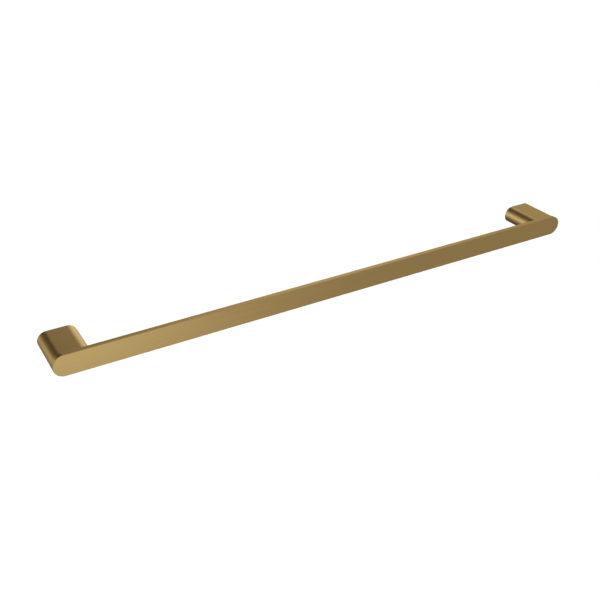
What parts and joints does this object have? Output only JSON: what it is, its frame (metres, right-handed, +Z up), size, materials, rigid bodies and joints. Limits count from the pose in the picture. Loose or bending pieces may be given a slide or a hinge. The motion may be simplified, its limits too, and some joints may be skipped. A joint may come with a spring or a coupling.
{
  "type": "towel bar",
  "caption": "Flat towel rail with full-round ends on hollow obround posts, fixed to a wall by hidden brackets and set screws.",
  "frame": {"origin": "on the wall plane, midway between the two posts and at half their height", "axes": "+X along the rail to the right as seen from the room, +Y into the wall, +Z up"},
  "size_m": [0.6406, 0.0532, 0.0232],
  "materials": {
    "brushed_brass": "satin, brushed along the rail and round the posts",
    "zinc_plated_steel": "zinc plated, dull",
    "screw_steel": "plain stainless steel"
  },
  "bodies": {
    "root": {"rail": "brushed_brass", "left_post": "brushed_brass", "right_post": "brushed_brass", "left_wall_bracket": "zinc_plated_steel", "right_wall_bracket": "zinc_plated_steel", "left_set_screw": "screw_steel", "right_set_screw": "screw_steel", "left_outer_rail_screw": "screw_steel", "left_inner_rail_screw": "screw_steel", "right_inner_rail_screw": "screw_steel", "right_outer_rail_screw": "screw_steel"}
  },
  "joints": []
}
